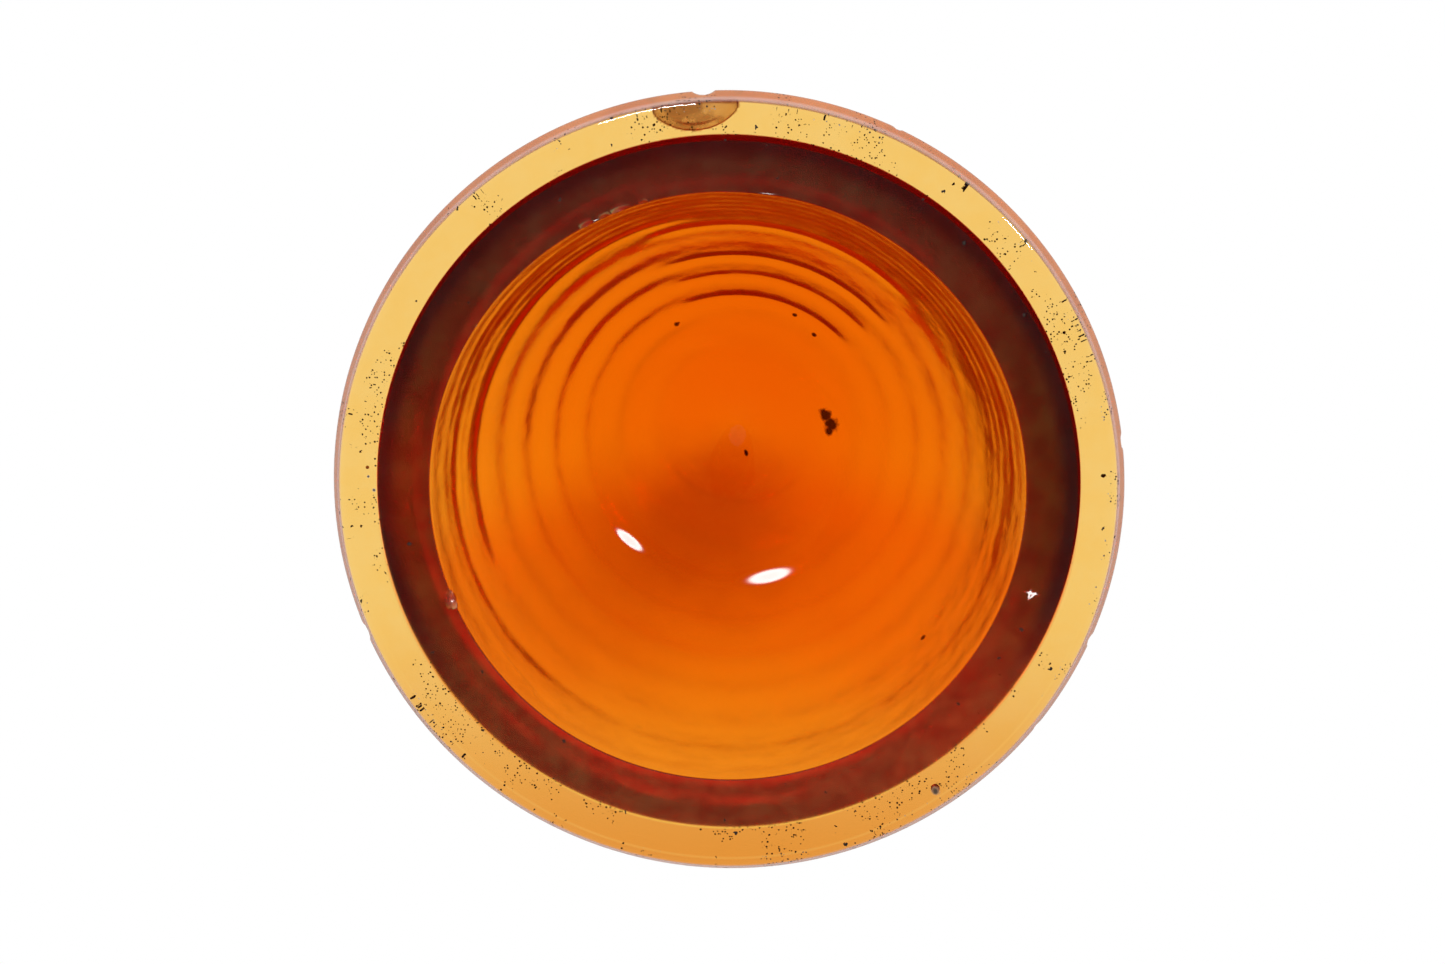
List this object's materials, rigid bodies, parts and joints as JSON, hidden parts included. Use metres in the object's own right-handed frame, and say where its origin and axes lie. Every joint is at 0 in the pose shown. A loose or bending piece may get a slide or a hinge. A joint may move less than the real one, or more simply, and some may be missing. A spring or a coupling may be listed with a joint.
{
  "type": "glass insulator",
  "caption": "Thick amber pressed-glass dome with ring ridges outside, a smooth bowl inside and a flat brim round its open base.",
  "frame": {"origin": "centre of the flat base that the brim stands on", "axes": "+Z along the dome's axis, from the open base up to the crown; +X and +Y are any two directions across the base, because the shape is turned"},
  "size_m": [0.07, 0.07, 0.0458],
  "materials": {
    "amber_glass": "clear amber pressed glass, fire polished, with small chips and dirt on the brim"
  },
  "bodies": {
    "root": {"glass_shell": "amber_glass"}
  },
  "joints": []
}
